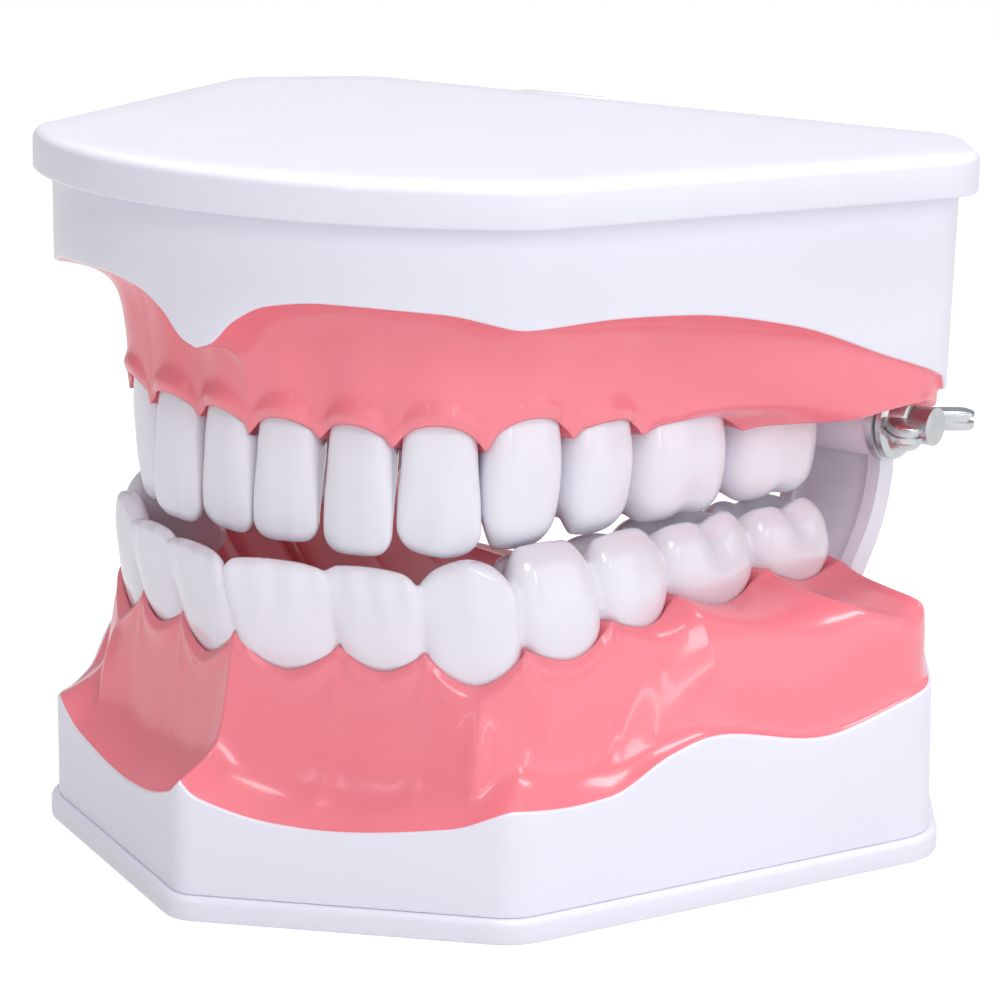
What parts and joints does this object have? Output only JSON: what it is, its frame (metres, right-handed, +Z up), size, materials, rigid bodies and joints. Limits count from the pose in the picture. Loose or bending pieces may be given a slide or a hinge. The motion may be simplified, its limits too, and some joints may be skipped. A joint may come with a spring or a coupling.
{
  "type": "dental typodont model",
  "caption": "Demonstration model of the upper and lower dental arches, a hinged pair of flat-based jaws with gums and teeth that open and close and lock with wing nuts.",
  "frame": {"origin": "underside of the base plate, on the midline, halfway between its front tip and its back edge", "axes": "+X to the right of a viewer who faces the front teeth, +Y towards the hinge at the back, +Z up; jaws slightly open"},
  "size_m": [0.1498, 0.1228, 0.1099],
  "materials": {
    "shell_white": "gloss moulded white plastic, very slightly lavender",
    "tooth_white": "high-gloss white tooth plastic",
    "gum_pink": "semi-gloss gum-pink plastic",
    "zinc_hardware": "zinc plated, lightly worn"
  },
  "bodies": {
    "lower_jaw": {"base_plate": "shell_white", "base_plate_screws": "zinc_hardware", "bottom_shell": "shell_white", "bottom_gum": "gum_pink", "bottom_tooth_arch": "tooth_white", "tooth_arch_screws": "zinc_hardware", "hinge_arm_left": "shell_white", "hinge_arm_right": "shell_white", "hinge_arm_screws": "zinc_hardware"},
    "upper_jaw": {"top_lid": "shell_white", "top_shell": "shell_white", "top_gum": "gum_pink", "tooth_screws": "zinc_hardware", "hinge_lug_left": "shell_white", "hinge_lug_right": "shell_white", "hinge_lug_screws": "zinc_hardware", "hinge_bolts": "zinc_hardware", "hinge_washer_left": "zinc_hardware", "hinge_washer_right": "zinc_hardware", "top_central_incisor_left": "tooth_white", "top_central_incisor_right": "tooth_white", "top_lateral_incisor_left": "tooth_white", "top_lateral_incisor_right": "tooth_white", "top_canine_left": "tooth_white", "top_canine_right": "tooth_white", "top_first_premolar_left": "tooth_white", "top_first_premolar_right": "tooth_white", "top_second_premolar_left": "tooth_white", "top_second_premolar_right": "tooth_white", "top_first_molar_left": "tooth_white", "top_first_molar_right": "tooth_white", "top_second_molar_left": "tooth_white", "top_second_molar_right": "tooth_white"},
    "wing_nut_left_body": {"wing_nut_left": "zinc_hardware"},
    "wing_nut_right_body": {"wing_nut_right": "zinc_hardware"}
  },
  "joints": [
    {"name": "jaw_hinge", "type": "hinge", "parent": "lower_jaw", "child": "upper_jaw", "pos_m": [0, 0.053, 0.0622], "axis": [-1, 0, 0], "range_deg": [-1.8, 80]},
    {"name": "wing_nut_left_turn", "type": "hinge", "parent": "upper_jaw", "child": "wing_nut_left_body", "pos_m": [-0.058, 0.053, 0.0622], "axis": [-1, 0, 0], "range_deg": [-15, 15]},
    {"name": "wing_nut_right_turn", "type": "hinge", "parent": "upper_jaw", "child": "wing_nut_right_body", "pos_m": [0.058, 0.053, 0.0622], "axis": [1, 0, 0], "range_deg": [-15, 15]}
  ]
}
